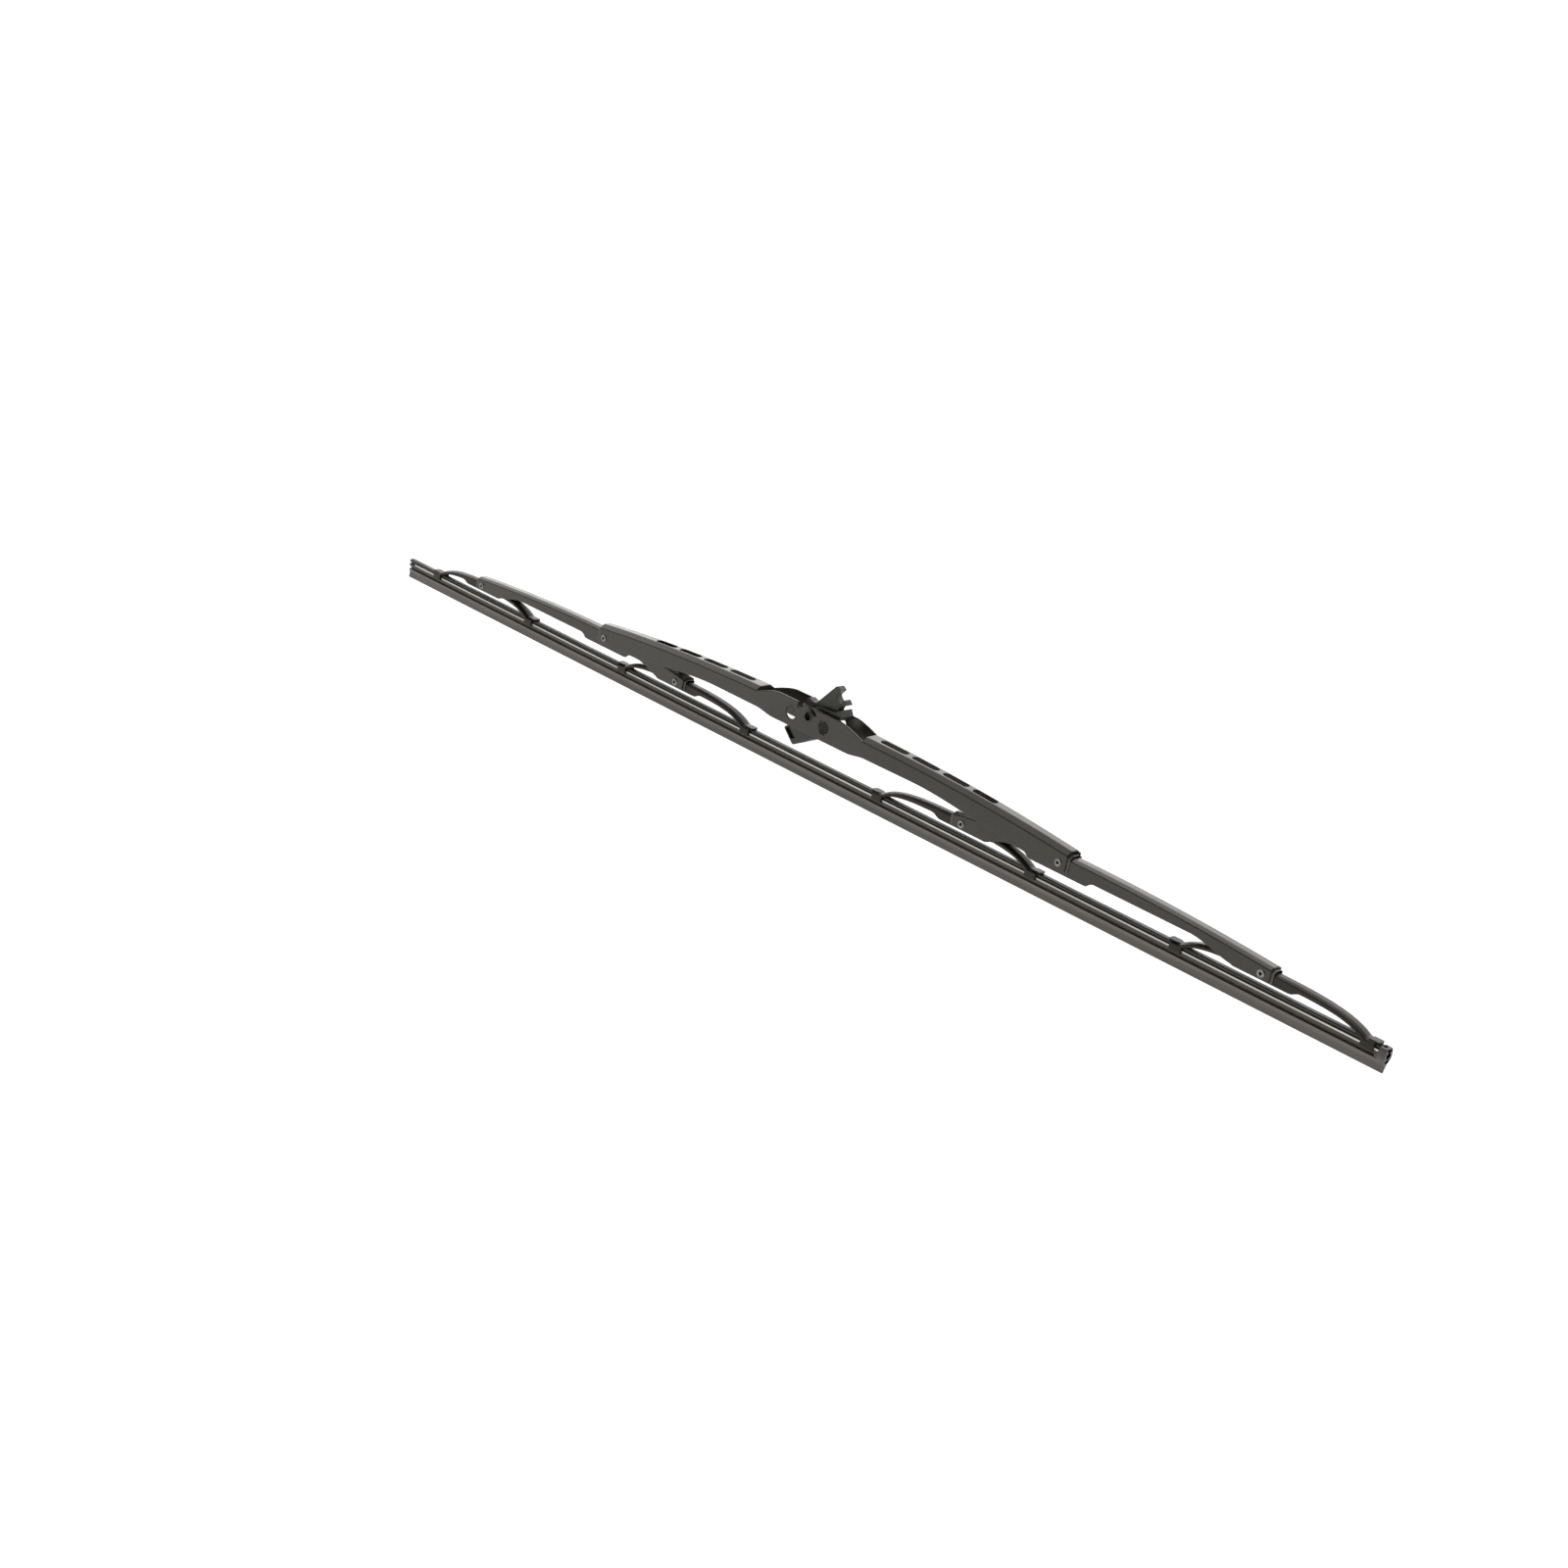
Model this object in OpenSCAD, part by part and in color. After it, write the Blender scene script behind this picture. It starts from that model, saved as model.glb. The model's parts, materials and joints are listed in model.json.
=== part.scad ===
// Windscreen wiper blade with a sprung steel frame: one main bracket over two
// secondary brackets over four claw bridges, a rubber element with two flexor
// strips in the claws, and a hook clip on a cross-pin at the middle.
// X runs along the blade, +Z up from the rubber's lip, -Y is the broad side seen.

/* [Frame layout] */
// Distance of each primary pivot from the middle of the frame
primary_x = 153.8; // [150:0.1:158]
// Height of the primary pivots above the lip
primary_z = 21.3; // [21:0.05:21.6]
// Arm of a secondary bracket from its pivot inward to a claw bridge's pivot
inner_arm = 56.1; // [54:0.1:58]
// Arm of a secondary bracket from its pivot outward to a claw bridge's pivot
outer_arm = 106.3; // [102:0.1:110]
// Height of the claw bridges' pivots above the lip
bridge_z = 16.5; // [16.3:0.05:16.7]
// Long arm of an inner claw bridge, toward the middle of the blade
inner_long_arm = 52.2; // [48:0.1:54]
// Long arm of the outer claw bridge at the near end
outer_long_arm = 51.1; // [46:0.1:56]
// Outward arm of the outer claw bridge at the far end
far_long_arm = 42.1; // [38:0.1:52]
// Short arm of a claw bridge
short_arm = 41.6; // [38:0.1:44]

/* [Main bracket] */
// Sheet thickness of the main and secondary brackets
sheet = 0.7; // [0.5:0.05:0.9]
// How far the main bracket reaches past the primary pivots
main_overhang = 4.1; // [3.5:0.1:7]
// Height of the main bracket's crown at the middle
main_crown_z = 35.1; // [34.5:0.1:36]
// Height of the main bracket's crown at its ends
main_end_z = 27.6; // [27.4:0.1:28.4]
// Half width of the main bracket at the middle
main_mid_w = 6.2; // [5.6:0.05:7]
// Width of the shoulder between the crown's flat and the main wall
main_shoulder = 2.9; // [2.4:0.1:3]
// Height of the main wall's lower edge at the middle
main_belly_z = 23.9; // [23:0.05:24.5]
// Height of the main wall's lower edge beside the belly
main_edge_z = 25.4; // [25:0.05:26]
// Height of the main wall's lower edge at the primary pivots
main_foot_z = 18.4; // [18:0.05:18.7]
// Half length of the belly of the main walls
main_belly_l = 25; // [22:0.5:30]

/* [Roof slots] */
// Length of the roof slot nearest the middle
slot_l = 17; // [14:0.1:18]
// How much shorter each next slot is
slot_step = 0.9; // [0.5:0.1:1.3]
// Width of a roof slot
slot_w = 4.1; // [3:0.1:4.4]
// Web of sheet between two slots
slot_web = 3.1; // [2:0.1:4]
// Distance of the first slot from the middle of the slot pattern
slot_start = 43.3; // [41:0.1:45]
// Middle of the slot pattern along the blade
slot_middle = -3; // [-4:0.1:0]

/* [Middle ears and side holes] */
// Middle of the opening and its ears along the blade
well_middle = -2.3; // [-3:0.1:-1.5]
// Half length of the opening in the roof at the middle
well_l = 36; // [34:0.5:37]
// Height of the ears beside the opening
ear_z = 37.4; // [37.2:0.1:38.5]
// Half length of the ears' level top edge
ear_top_l = 20.5; // [19:0.5:24]
// Width of the square notch in the ears' top edge
notch_w = 3.2; // [2.5:0.1:3.6]
// Depth of that notch
notch_h = 2.7; // [1.5:0.1:3]
// Middle of that notch along the blade
notch_x = -8.3; // [-8.6:0.1:-8]
// Width of the slanted slot in the ears' top edge
ear_slot_w = 1.7; // [1.2:0.1:1.9]
// Length of that slot between the middles of its ends
ear_slot_l = 4.6; // [3.5:0.1:4.8]
// Fall of that slot, in degrees
ear_slot_deg = 33; // [28:0.5:36]
// Depth of the lips bent down at the ends of the roof
lip_h = 2.8; // [2:0.1:3.4]
// Diameter of the side holes for an arm's side pin
side_hole_d = 6.9; // [6.5:0.05:7.1]
// Place of the far side hole along the blade
side_hole_far_x = -13.5; // [-14:0.1:-13.1]
// Place of the near side hole along the blade
side_hole_near_x = 8.7; // [8.6:0.1:9.5]
// Height of the side holes
side_hole_z = 30.8; // [30.5:0.05:31]

/* [Secondary brackets] */
// Height of a secondary bracket's crown over its pivot
second_crown_z = 24.8; // [24.6:0.05:24.9]
// Height of a secondary bracket's crown at its ends
second_end_z = 20.4; // [20.3:0.05:20.8]
// How far a secondary bracket reaches past a claw bridge's pivot outward
second_overhang = 4.2; // [3.5:0.1:6]
// How far a secondary bracket reaches past a claw bridge's pivot inward
second_inner_overhang = 5.7; // [4:0.1:7]
// Half width of the flat along a secondary bracket's crown
second_flat = 1.8; // [1.5:0.1:2]
// Height of the secondary walls' lower edge under the primary pivot
second_belly_z = 16.2; // [15.8:0.05:16.6]
// Height of the secondary walls' lower edge between the pivots
second_edge_z = 18.5; // [18:0.05:18.8]
// Height of the secondary walls' lower edge at the claw bridges' pivots
second_foot_z = 14; // [13.6:0.05:14.1]

/* [Claw bridges] */
// Sheet thickness of the claw bridges
bridge_sheet = 0.6; // [0.5:0.05:0.7]
// Half width of a claw bridge between its legs
bridge_w = 2.75; // [2.7:0.01:2.8]
// Height of a claw bridge's crown
bridge_crown_z = 18.6; // [18.4:0.05:18.7]
// Half width of the flat along a claw bridge's crown
bridge_flat = 1.3; // [1.2:0.05:1.4]
// Depth of a leg's side wall beside its claw
leg_h = 1.8; // [1.5:0.05:2.2]
// Height of a claw bridge's lower edge under its pivot
bridge_belly_z = 13.3; // [13:0.05:13.5]
// Half length of a claw bridge's belly
bridge_belly_l = 13.6; // [12:0.1:15]
// Length of a claw along the blade
claw_l = 6; // [5:0.1:7]
// Length of the tab on the roof of a claw
tab_l = 4.5; // [3:0.1:5.5]
// Half width of that tab
tab_w = 2.1; // [1.5:0.05:2.3]
// Thickness of a claw's jaws
jaw_h = 0.6; // [0.5:0.05:0.65]

/* [Rubber element] */
// Length of the rubber element
rubber_l = 650; // [640:1:680]
// Middle of the rubber element along the blade
rubber_middle = -5.27; // [-5.5:0.01:-5.2]
// Height of the rubber element
rubber_h = 10.5; // [10.4:0.05:10.6]
// Half width of the rubber's head
head_w = 1.55; // [1.5:0.05:1.6]
// Half width of the shelf under the flexor strips
shelf_w = 1.6; // [1.4:0.05:1.65]
// Half width of the rubber's shoulder, its widest fin
shoulder_w = 2.3; // [2:0.05:2.6]
// Half thickness of the hinge web over the wiping lip
web_w = 0.3; // [0.25:0.05:0.4]
// Half thickness of the wiping lip
lip_w = 0.4; // [0.3:0.05:0.5]
// Length of the solid block moulded at the near end
block_l = 3.4; // [2.5:0.1:3.6]
// Half width of that block
block_w = 3.1; // [2.8:0.05:3.3]

/* [Flexor strips] */
// Thickness of a flexor strip
strip_h = 0.85; // [0.7:0.05:0.9]
// Half width over the outer edges of both strips
strip_w = 2.35; // [2.2:0.05:2.4]
// Height of the strips' middle above the lip
strip_z = 8.55; // [8.5:0.01:8.6]
// Distance of the strips' far end from the rubber's far end
strip_end = 6; // [4:0.5:12]

/* [Rivets and liners] */
// Shank diameter of the tubular rivets
rivet_d = 2.7; // [2.4:0.05:2.8]
// Bore of the tubular rivets
rivet_bore = 1.6; // [1.2:0.05:1.8]
// Head diameter of the tubular rivets
rivet_head_d = 3.8; // [3.5:0.05:4.2]
// Height of a rolled rivet head
rivet_head_h = 0.45; // [0.3:0.05:0.6]
// Wall of the plastic liners between two brackets
liner_t = 0.3; // [0.25:0.01:0.35]
// How far a liner shows past the end of its bracket
liner_proud = 1.3; // [0.8:0.1:2]
// Depth of a liner in from its pivot
liner_in = 7; // [5:0.1:9]

/* [Cross-pin and hook clip] */
// Diameter of the cross-pin
pin_d = 4.8; // [4.4:0.05:5]
// Diameter of the hollows in the cross-pin's ends
pin_hollow_d = 4; // [3.2:0.05:4.1]
// Depth of those hollows
pin_hollow = 2.2; // [1:0.1:3]
// Rim diameter of the cross-pin
pin_head_d = 5.6; // [5.4:0.05:5.8]
// Height of the cross-pin's rims
pin_head_h = 0.2; // [0.15:0.05:0.4]
// Place of the cross-pin along the blade
pin_x = -2.3; // [-2.6:0.1:-2]
// Height of the cross-pin above the lip
pin_z = 32.5; // [32.3:0.05:32.7]
// Lean of the hook clip's lever from the blade's length, in degrees
clip_tilt = 48; // [46:0.5:50]
// Reach of the clip's lever from the pin
lever_l = 21.8; // [20:0.1:24]
// Reach of the clip's tail from the pin
tail_l = 19.2; // [18:0.1:19.4]
// Half width of the clip's lever
lever_w = 2; // [1.6:0.05:2.4]
// Half width of the clip's body, tail and lower jaw
clip_w = 4.2; // [3.6:0.05:4.6]
// Depth of the pockets in the sides of the clip's tail
pocket_h = 1.4; // [0.5:0.1:2]
// Diameter of the clip's hubs on the pin
hub_d = 8.4; // [8:0.1:9]

/* [Clearances] */
// Running clearance round a shaft, on the radius
run_gap = 0.05; // [0.03:0.01:0.08]
// Clearance of a fixed rivet in its holes, on the radius
seat_gap = 0.03; // [0.02:0.01:0.04]
// Clearance on each side of the rubber's head in a claw
claw_gap = 0.15; // [0.12:0.01:0.18]
// Clearance over the rubber's head under a claw's roof
roof_gap = 0.35; // [0.3:0.01:0.4]
// Clearance on each side of the clip between the walls
clip_gap = 0.3; // [0.25:0.05:0.4]

/* [Hidden] */
$fn = 48;
steel_dark = [0.27, 0.26, 0.24];
steel_bright = [0.74, 0.73, 0.70];
rubber_grey = [0.36, 0.34, 0.31];
plastic_black = [0.16, 0.16, 0.15];
liner_grey = [0.20, 0.20, 0.19];
strip_steel = [0.70, 0.67, 0.58];
curve_steps = 20;
step_points = 6;
through = 60;
below = -20;
shoulder_deg = 28;
main_shoulder_deg = 34;
bridge_shoulder_deg = 24;
main_curve = 2.4;
main_flare = [150, 41];
main_s_start = 66;
main_s_end = 148;
step_l = 12;
second_level = 8;
second_step_l = 3.6;
second_drop_out = [70, 95];
second_drop_in = [26, 46];
second_belly_out = 15.2;
second_belly_in = 16.3;
bridge_step_l = 4.6;
leg_spread = 11;
leg_power = 0.88;
leg_growth = 0.03;
leg_flare = [4, 16.2];
flare_points = 5;
web_z = 2.7;
lip_z = 1.2;
neck_z = 3.6;
neck_w = 0.7;
shoulder_z = 6.1;
groove_w = 0.9;
slot_depth_w = 0.65;
ear_slot_at = [-1.9, 37.3];
ear_round = 1.4;
lever_top = 4.2;
strip_slack = 0.02;
liner_rise = 0.65;
bridge_liner_rise = 0.45;
wall_lap = 2;
lap_drop = 0.1;
// Half widths that follow from the stack of sheets, liners and running gaps
second_in = bridge_w + run_gap + liner_t;
second_w = second_in + sheet;
main_in = second_w + run_gap + liner_t;
main_w = main_in + sheet;
claw_in = strip_w + claw_gap;
claw_w = claw_in + bridge_sheet;
claw_roof_z = rubber_h + roof_gap + bridge_sheet;
jaw_top_z = strip_z - strip_h / 2 - claw_gap;
jaw_in = shelf_w + claw_gap;
main_end = primary_x + main_overhang;
inner_bridge_x = primary_x - inner_arm;
outer_bridge_x = primary_x + outer_arm;
rubber_start = rubber_middle - rubber_l / 2;
rubber_end = rubber_middle + rubber_l / 2;
well_w = main_mid_w - sheet;

// Claw bridges in order from the far end: pivot, left arm, right arm
bridges = [
    [-outer_bridge_x, far_long_arm, short_arm],
    [-inner_bridge_x, short_arm, inner_long_arm],
    [inner_bridge_x, inner_long_arm, short_arm],
    [outer_bridge_x, short_arm, outer_long_arm]
];

// Smooth step from 0 at a to 1 at b
function ease(a, b, x) = let (t = max(0, min(1, (x - a) / (b - a)))) t * t * (3 - 2 * t);
function span(a, b, n) = [for (i = [0:n]) a + (b - a) * i / n];
function backward(list) = [for (i = [len(list) - 1:-1:0]) list[i]];

// Crown and lower edge of the main bracket
function main_top(x) = main_crown_z - (main_crown_z - main_end_z) * pow(abs(x) / main_end, main_curve);
function main_low(x) =
    main_belly_z
    + (main_edge_z - main_belly_z) * ease(main_belly_l, main_belly_l + step_l, abs(x))
    - (main_edge_z - main_foot_z) * ease(main_s_start, main_s_end, abs(x));
function main_half(x) =
    main_w + (main_mid_w - main_w) * max(0, min(1, (main_flare[0] - abs(x)) / (main_flare[0] - main_flare[1])));
function main_flat(x) = main_half(x) - main_shoulder;

// Crown and lower edge of a secondary bracket, u running outward from its pivot
function second_reach(u) = u < 0 ? inner_arm + second_inner_overhang : outer_arm + second_overhang;
function second_top(u) =
    second_crown_z - (second_crown_z - second_end_z)
    * pow(max(0, abs(u) - second_level) / (second_reach(u) - second_level), 2);
function second_drop(u) = u < 0 ? second_drop_in : second_drop_out;
function second_low(u) =
    let (belly = u < 0 ? second_belly_in : second_belly_out)
    second_belly_z + (second_edge_z - second_belly_z) * ease(belly, belly + second_step_l, abs(u))
    - (second_edge_z - second_foot_z) * ease(second_drop(u)[0], second_drop(u)[1], abs(u));

// Crown and lower edge of a claw bridge, x from its pivot, arms a (left) and b (right)
function leg_fall(d) = (bridge_crown_z - rubber_h + 0.5) * exp(-pow(max(0, d) / leg_spread, leg_power));
function bridge_top(x, a, b) =
    max(claw_roof_z, bridge_crown_z - leg_fall(x + a) - leg_fall(b - x));
function bridge_low(x, a, b) =
    let (d = min(x + a, b - x))
    let (leg = bridge_top(x, a, b) - leg_h - leg_growth * d)
    d <= claw_l / 2 ? jaw_top_z - jaw_h
    : leg + (bridge_belly_z - leg) * ease(bridge_belly_l + bridge_step_l, bridge_belly_l, abs(x));
function bridge_half(x, a, b) =
    claw_w + (bridge_w - claw_w) * ease(leg_flare[0], leg_flare[1], min(x + a, b - x));

module across(points) {
    rotate([90, 0, 0])
        linear_extrude(through, center = true) polygon(points);
}

module upright(points) {
    translate([0, 0, below])
        linear_extrude(2 * through) polygon(points);
}

module bore(x, z, r) {
    translate([x, 0, z])
        rotate([90, 0, 0]) cylinder(r = r, h = through, center = true);
}

// Space under a crown line of points [place, height, half flat]: level, then falling to both sides
module below_crown(crown, drop, angle) {
    intersection_for (part = [0:2])
        below_part(crown, drop, angle, part);
}

// One of the three prisms that bound the space under a crown line
module below_part(crown, drop, angle, part) {
    first = crown[0][0];
    last = crown[len(crown) - 1][0];
    if (part == 0)
        across(concat([for (p = crown) [p[0], p[1] - drop]], [[last, below], [first, below]]));
    else
        mirror([0, part - 1, 0])
            rotate([-angle, 0, 0])
                across(concat(
                    [for (p = crown) [p[0], (p[1] + p[2] * tan(angle)) * cos(angle) - drop]],
                    [[last, 2 * below], [first, 2 * below]]));
}

// Plan outline from points [place along the blade, half width]
function plan(edge, inset) = concat(
    [for (p = edge) [p[0], p[1] - inset]],
    backward([for (p = edge) [p[0], inset - p[1]]]));

// Folded channel: side outline, crown line, plan edge, angle of its shoulders, sheet
module channel(side, crown, edge, angle, wall) {
    difference() {
        intersection() {
            across(side);
            upright(plan(edge, 0));
            below_crown(crown, 0, angle);
        }
        intersection() {
            upright(plan(edge, wall));
            below_crown(crown, wall, angle);
        }
    }
}

module rivet(x, z, half) {
    color(steel_bright)
        translate([x, 0, z])
            rotate([90, 0, 0])
                difference() {
                    union() {
                        cylinder(d = rivet_d, h = 2 * half, center = true);
                        for (side = [0, 1])
                            mirror([0, 0, side])
                                translate([0, 0, half])
                                    cylinder(d1 = rivet_head_d, d2 = rivet_head_d - rivet_head_h,
                                        h = rivet_head_h);
                    }
                    cylinder(d = rivet_bore, h = through, center = true);
                }
}

// Folded plastic liner over the inner bracket, from x0 to x1, pivot at x
module liner(x, z, x0, x1, half, low, roof, flat, angle) {
    outer_roof = roof + liner_t;
    corner = outer_roof - (half - flat) * tan(angle);
    inner_corner = roof - (half - liner_t - flat) * tan(angle);
    color(liner_grey)
        difference() {
            translate([min(x0, x1), 0, 0])
                rotate([90, 0, 90])
                    linear_extrude(abs(x1 - x0))
                        polygon([
                            [-half, low], [-half, corner], [-flat, outer_roof], [flat, outer_roof],
                            [half, corner], [half, low], [half - liner_t, low],
                            [half - liner_t, inner_corner], [flat, roof], [-flat, roof],
                            [liner_t - half, inner_corner], [liner_t - half, low]
                        ]);
            bore(x, z, rivet_d / 2 + seat_gap);
        }
}

module slot_cut(x0, x1) {
    r = slot_w / 2;
    translate([0, 0, main_edge_z])
        linear_extrude(through) {
            translate([x0 + r, -r]) square([x1 - x0 - slot_w, slot_w]);
            for (x = [x0 + r, x1 - r])
                translate([x, 0]) circle(r);
        }
}

// Start of roof slot i, counted from the middle
function slot_at(i) = i == 0 ? slot_start : slot_at(i - 1) + slot_l - (i - 1) * slot_step + slot_web;

// One half of the bracket's roofed channel, x running outward from its start at the opening
module main_arm(start) {
    stations = span(start, main_end, 2 * curve_steps);
    crown = [for (x = stations) [x, main_top(x), main_flat(x)]];
    side = concat([for (x = stations) [x, main_top(x) + 1]],
        backward([for (x = span(start, main_end, 3 * curve_steps)) [x, main_low(x)]]));
    edge = [for (x = [start, main_flare[1], main_flare[0], main_end]) [x, main_half(x)]];
    channel(side, crown, edge, main_shoulder_deg, sheet);
    intersection() {
        translate([start, -well_w, main_top(start) - lip_h]) cube([sheet, 2 * well_w, lip_h]);
        below_crown(crown, 0, main_shoulder_deg);
    }
}

// Upper edge of the main bracket's walls
function main_corner(x) = main_top(x) - main_shoulder * tan(main_shoulder_deg);

// One wall of the middle with its ear, lapped into the walls of both arms
module main_ear() {
    near = well_middle + well_l;
    far = well_middle - well_l;
    translate([0, -well_w, 0])
        rotate([90, 0, 0])
            linear_extrude(sheet)
                difference() {
                    polygon(concat(
                        [for (x = span(far - wall_lap, near + wall_lap, 2 * curve_steps)) [x, main_low(x)]],
                        [[near + wall_lap, main_corner(near + wall_lap) - lap_drop]],
                        ear_end(near, well_middle + ear_top_l),
                        backward(ear_end(far, well_middle - ear_top_l)),
                        [[far - wall_lap, main_corner(far - wall_lap) - lap_drop]]));
                    translate([notch_x - notch_w / 2, ear_z - notch_h]) square([notch_w, 2 * notch_h]);
                    translate(ear_slot_at)
                        rotate(-ear_slot_deg) {
                            translate([0, -ear_slot_w / 2]) square([ear_slot_l, ear_slot_w]);
                            circle(d = ear_slot_w);
                            translate([ear_slot_l, 0]) circle(d = ear_slot_w);
                        }
                }
}

// Rise of an ear from the roof's end a to its level top edge at b
function ear_end(a, b) = [for (x = span(a, b, step_points))
    [x, ear_z - (ear_z - main_corner(a)) * pow(max(0, (x - b) / (a - b)), ear_round)]];

module main_bracket() {
    color(steel_dark)
        difference() {
            union() {
                main_arm(well_l + well_middle);
                mirror([1, 0, 0]) main_arm(well_l - well_middle);
                for (side = [0, 1])
                    mirror([0, side, 0]) main_ear();
            }
            for (side = [-1, 1])
                for (i = [0:3]) {
                    near = slot_at(i);
                    far = near + slot_l - i * slot_step;
                    slot_cut(slot_middle + (side > 0 ? near : -far), slot_middle + (side > 0 ? far : -near));
                }
            for (side = [-1, 1])
                bore(side * primary_x, primary_z, rivet_d / 2 + seat_gap);
            bore(side_hole_far_x, side_hole_z, side_hole_d / 2);
            bore(side_hole_near_x, side_hole_z, side_hole_d / 2);
            bore(pin_x, pin_z, pin_d / 2 + seat_gap);
        }
}

// A secondary bracket, u running outward from its primary pivot
module secondary() {
    first = -second_reach(-1);
    last = second_reach(1);
    stations = span(first, last, 2 * curve_steps);
    crown = [for (u = stations) [u, second_top(u), second_flat]];
    side = concat([for (u = stations) [u, second_top(u) + 1]],
        backward([for (u = span(first, last, 5 * curve_steps)) [u, second_low(u)]]));
    color(steel_dark)
        difference() {
            channel(side, crown, [[first, second_w], [last, second_w]], shoulder_deg, sheet);
            bore(0, primary_z, rivet_d / 2 + run_gap);
            for (u = [-inner_arm, outer_arm])
                bore(u, bridge_z, rivet_d / 2 + seat_gap);
        }
}

module secondary_bracket_right() {
    translate([primary_x, 0, 0]) secondary();
}

module secondary_bracket_left() {
    mirror([1, 0, 0]) secondary_bracket_right();
}

// Jaws, tab and inner space of the claw at x, dir pointing away from the pivot
module jaw_pair(x) {
    for (side = [0, 1])
        mirror([0, side, 0])
            translate([x - claw_l / 2, jaw_in, jaw_top_z - jaw_h])
                cube([claw_l, claw_w - jaw_in, jaw_h]);
}

module claw_tab(x, dir) {
    translate([x, 0, claw_roof_z - bridge_sheet])
        linear_extrude(bridge_sheet) {
            translate([dir > 0 ? 0 : -(claw_l / 2 + tab_l - tab_w), -tab_w])
                square([claw_l / 2 + tab_l - tab_w, 2 * tab_w]);
            translate([dir * (claw_l / 2 + tab_l - tab_w), 0]) circle(tab_w);
        }
}

module claw_bridge(index) {
    pivot = bridges[index][0];
    a = bridges[index][1];
    b = bridges[index][2];
    first = -a - claw_l / 2;
    last = b + claw_l / 2;
    stations = concat(span(first, -a + claw_l, step_points),
        span(-a + 1.5 * claw_l, b - 1.5 * claw_l, curve_steps),
        span(b - claw_l, last, step_points));
    crown = [for (x = stations) [x, bridge_top(x, a, b), bridge_flat]];
    edge = [for (x = concat([first], span(leg_flare[0] - a, leg_flare[1] - a, flare_points),
            span(b - leg_flare[1], b - leg_flare[0], flare_points), [last]))
        [x, bridge_half(x, a, b)]];
    lows = concat([first, -a + claw_l / 2], span(-a + claw_l / 2 + 0.02, b - claw_l / 2 - 0.02, 3 * curve_steps),
        [b - claw_l / 2, last]);
    side = concat([for (p = crown) [p[0], p[1] + 1]],
        backward([for (x = lows) [x, bridge_low(x, a, b)]]));
    color(steel_dark)
        translate([pivot, 0, 0])
            difference() {
                union() {
                    channel(side, crown, edge, bridge_shoulder_deg, bridge_sheet);
                    jaw_pair(-a);
                    jaw_pair(b);
                    claw_tab(-a, -1);
                    claw_tab(b, 1);
                }
                bore(0, bridge_z, rivet_d / 2 + run_gap);
            }
}

module claw_bridge_1() {
    claw_bridge(0);
}

module claw_bridge_2() {
    claw_bridge(1);
}

module claw_bridge_3() {
    claw_bridge(2);
}

module claw_bridge_4() {
    claw_bridge(3);
}

module primary_rivet_right() {
    rivet(primary_x, primary_z, main_w);
}

module primary_rivet_left() {
    mirror([1, 0, 0]) primary_rivet_right();
}

module bridge_rivet_1() {
    rivet(bridges[0][0], bridge_z, second_w);
}

module bridge_rivet_2() {
    rivet(bridges[1][0], bridge_z, second_w);
}

module bridge_rivet_3() {
    rivet(bridges[2][0], bridge_z, second_w);
}

module bridge_rivet_4() {
    rivet(bridges[3][0], bridge_z, second_w);
}

module primary_liner_right() {
    liner(primary_x, primary_z, primary_x - liner_in, main_end + liner_proud, main_in,
        main_foot_z, second_crown_z + liner_rise, second_flat, shoulder_deg);
}

module primary_liner_left() {
    mirror([1, 0, 0]) primary_liner_right();
}

// Liner at the end of a secondary bracket, out running toward that end
module bridge_liner(pivot, out, overhang) {
    liner(pivot, bridge_z, pivot - out * liner_in, pivot + out * (overhang + liner_proud), second_in,
        second_foot_z, bridge_crown_z + bridge_liner_rise, bridge_flat, bridge_shoulder_deg);
}

module bridge_liner_1() {
    bridge_liner(bridges[0][0], -1, second_overhang);
}

module bridge_liner_2() {
    bridge_liner(bridges[1][0], 1, second_inner_overhang);
}

module bridge_liner_3() {
    bridge_liner(bridges[2][0], -1, second_inner_overhang);
}

module bridge_liner_4() {
    bridge_liner(bridges[3][0], 1, second_overhang);
}

module cross_pin() {
    color(steel_dark)
        translate([pin_x, 0, pin_z])
            rotate([90, 0, 0])
                difference() {
                    union() {
                        cylinder(d = pin_d, h = 2 * main_mid_w, center = true);
                        for (side = [0, 1])
                            mirror([0, 0, side])
                                translate([0, 0, main_mid_w])
                                    cylinder(d1 = pin_head_d, d2 = pin_head_d - pin_head_h, h = pin_head_h);
                    }
                    for (side = [0, 1])
                        mirror([0, 0, side])
                            translate([0, 0, main_mid_w + pin_head_h - pin_hollow])
                                cylinder(d = pin_hollow_d, h = through);
                }
}

// Clip outlines in its own frame: the lever runs along +X from the pin at the origin
function clip_lever() = [
    [-7, -4], [-6.4, 3.4], [-4.4, 6], [-2.8, 8.1], [-1.6, 8.6], [1.4, 8.7], [2.2, 8.3], [3.2, 5.8],
    [4.6, lever_top], [lever_l - 0.9, lever_top], [lever_l + 0.2, lever_top - 0.7], [lever_l + 0.5, 1],
    [lever_l - 3, 1], [lever_l - 3.9, 0.3], [lever_l - 3.9, -2.6], [lever_l - 3.2, -3.6],
    [lever_l - 0.3, -3.6], [lever_l, -4.2], [lever_l - 0.3, -6.6], [lever_l - 3.3, -4.8],
    [lever_l - 5, -5], [13.4, -6.4], [8, -4.6], [0, -6]
];

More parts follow.
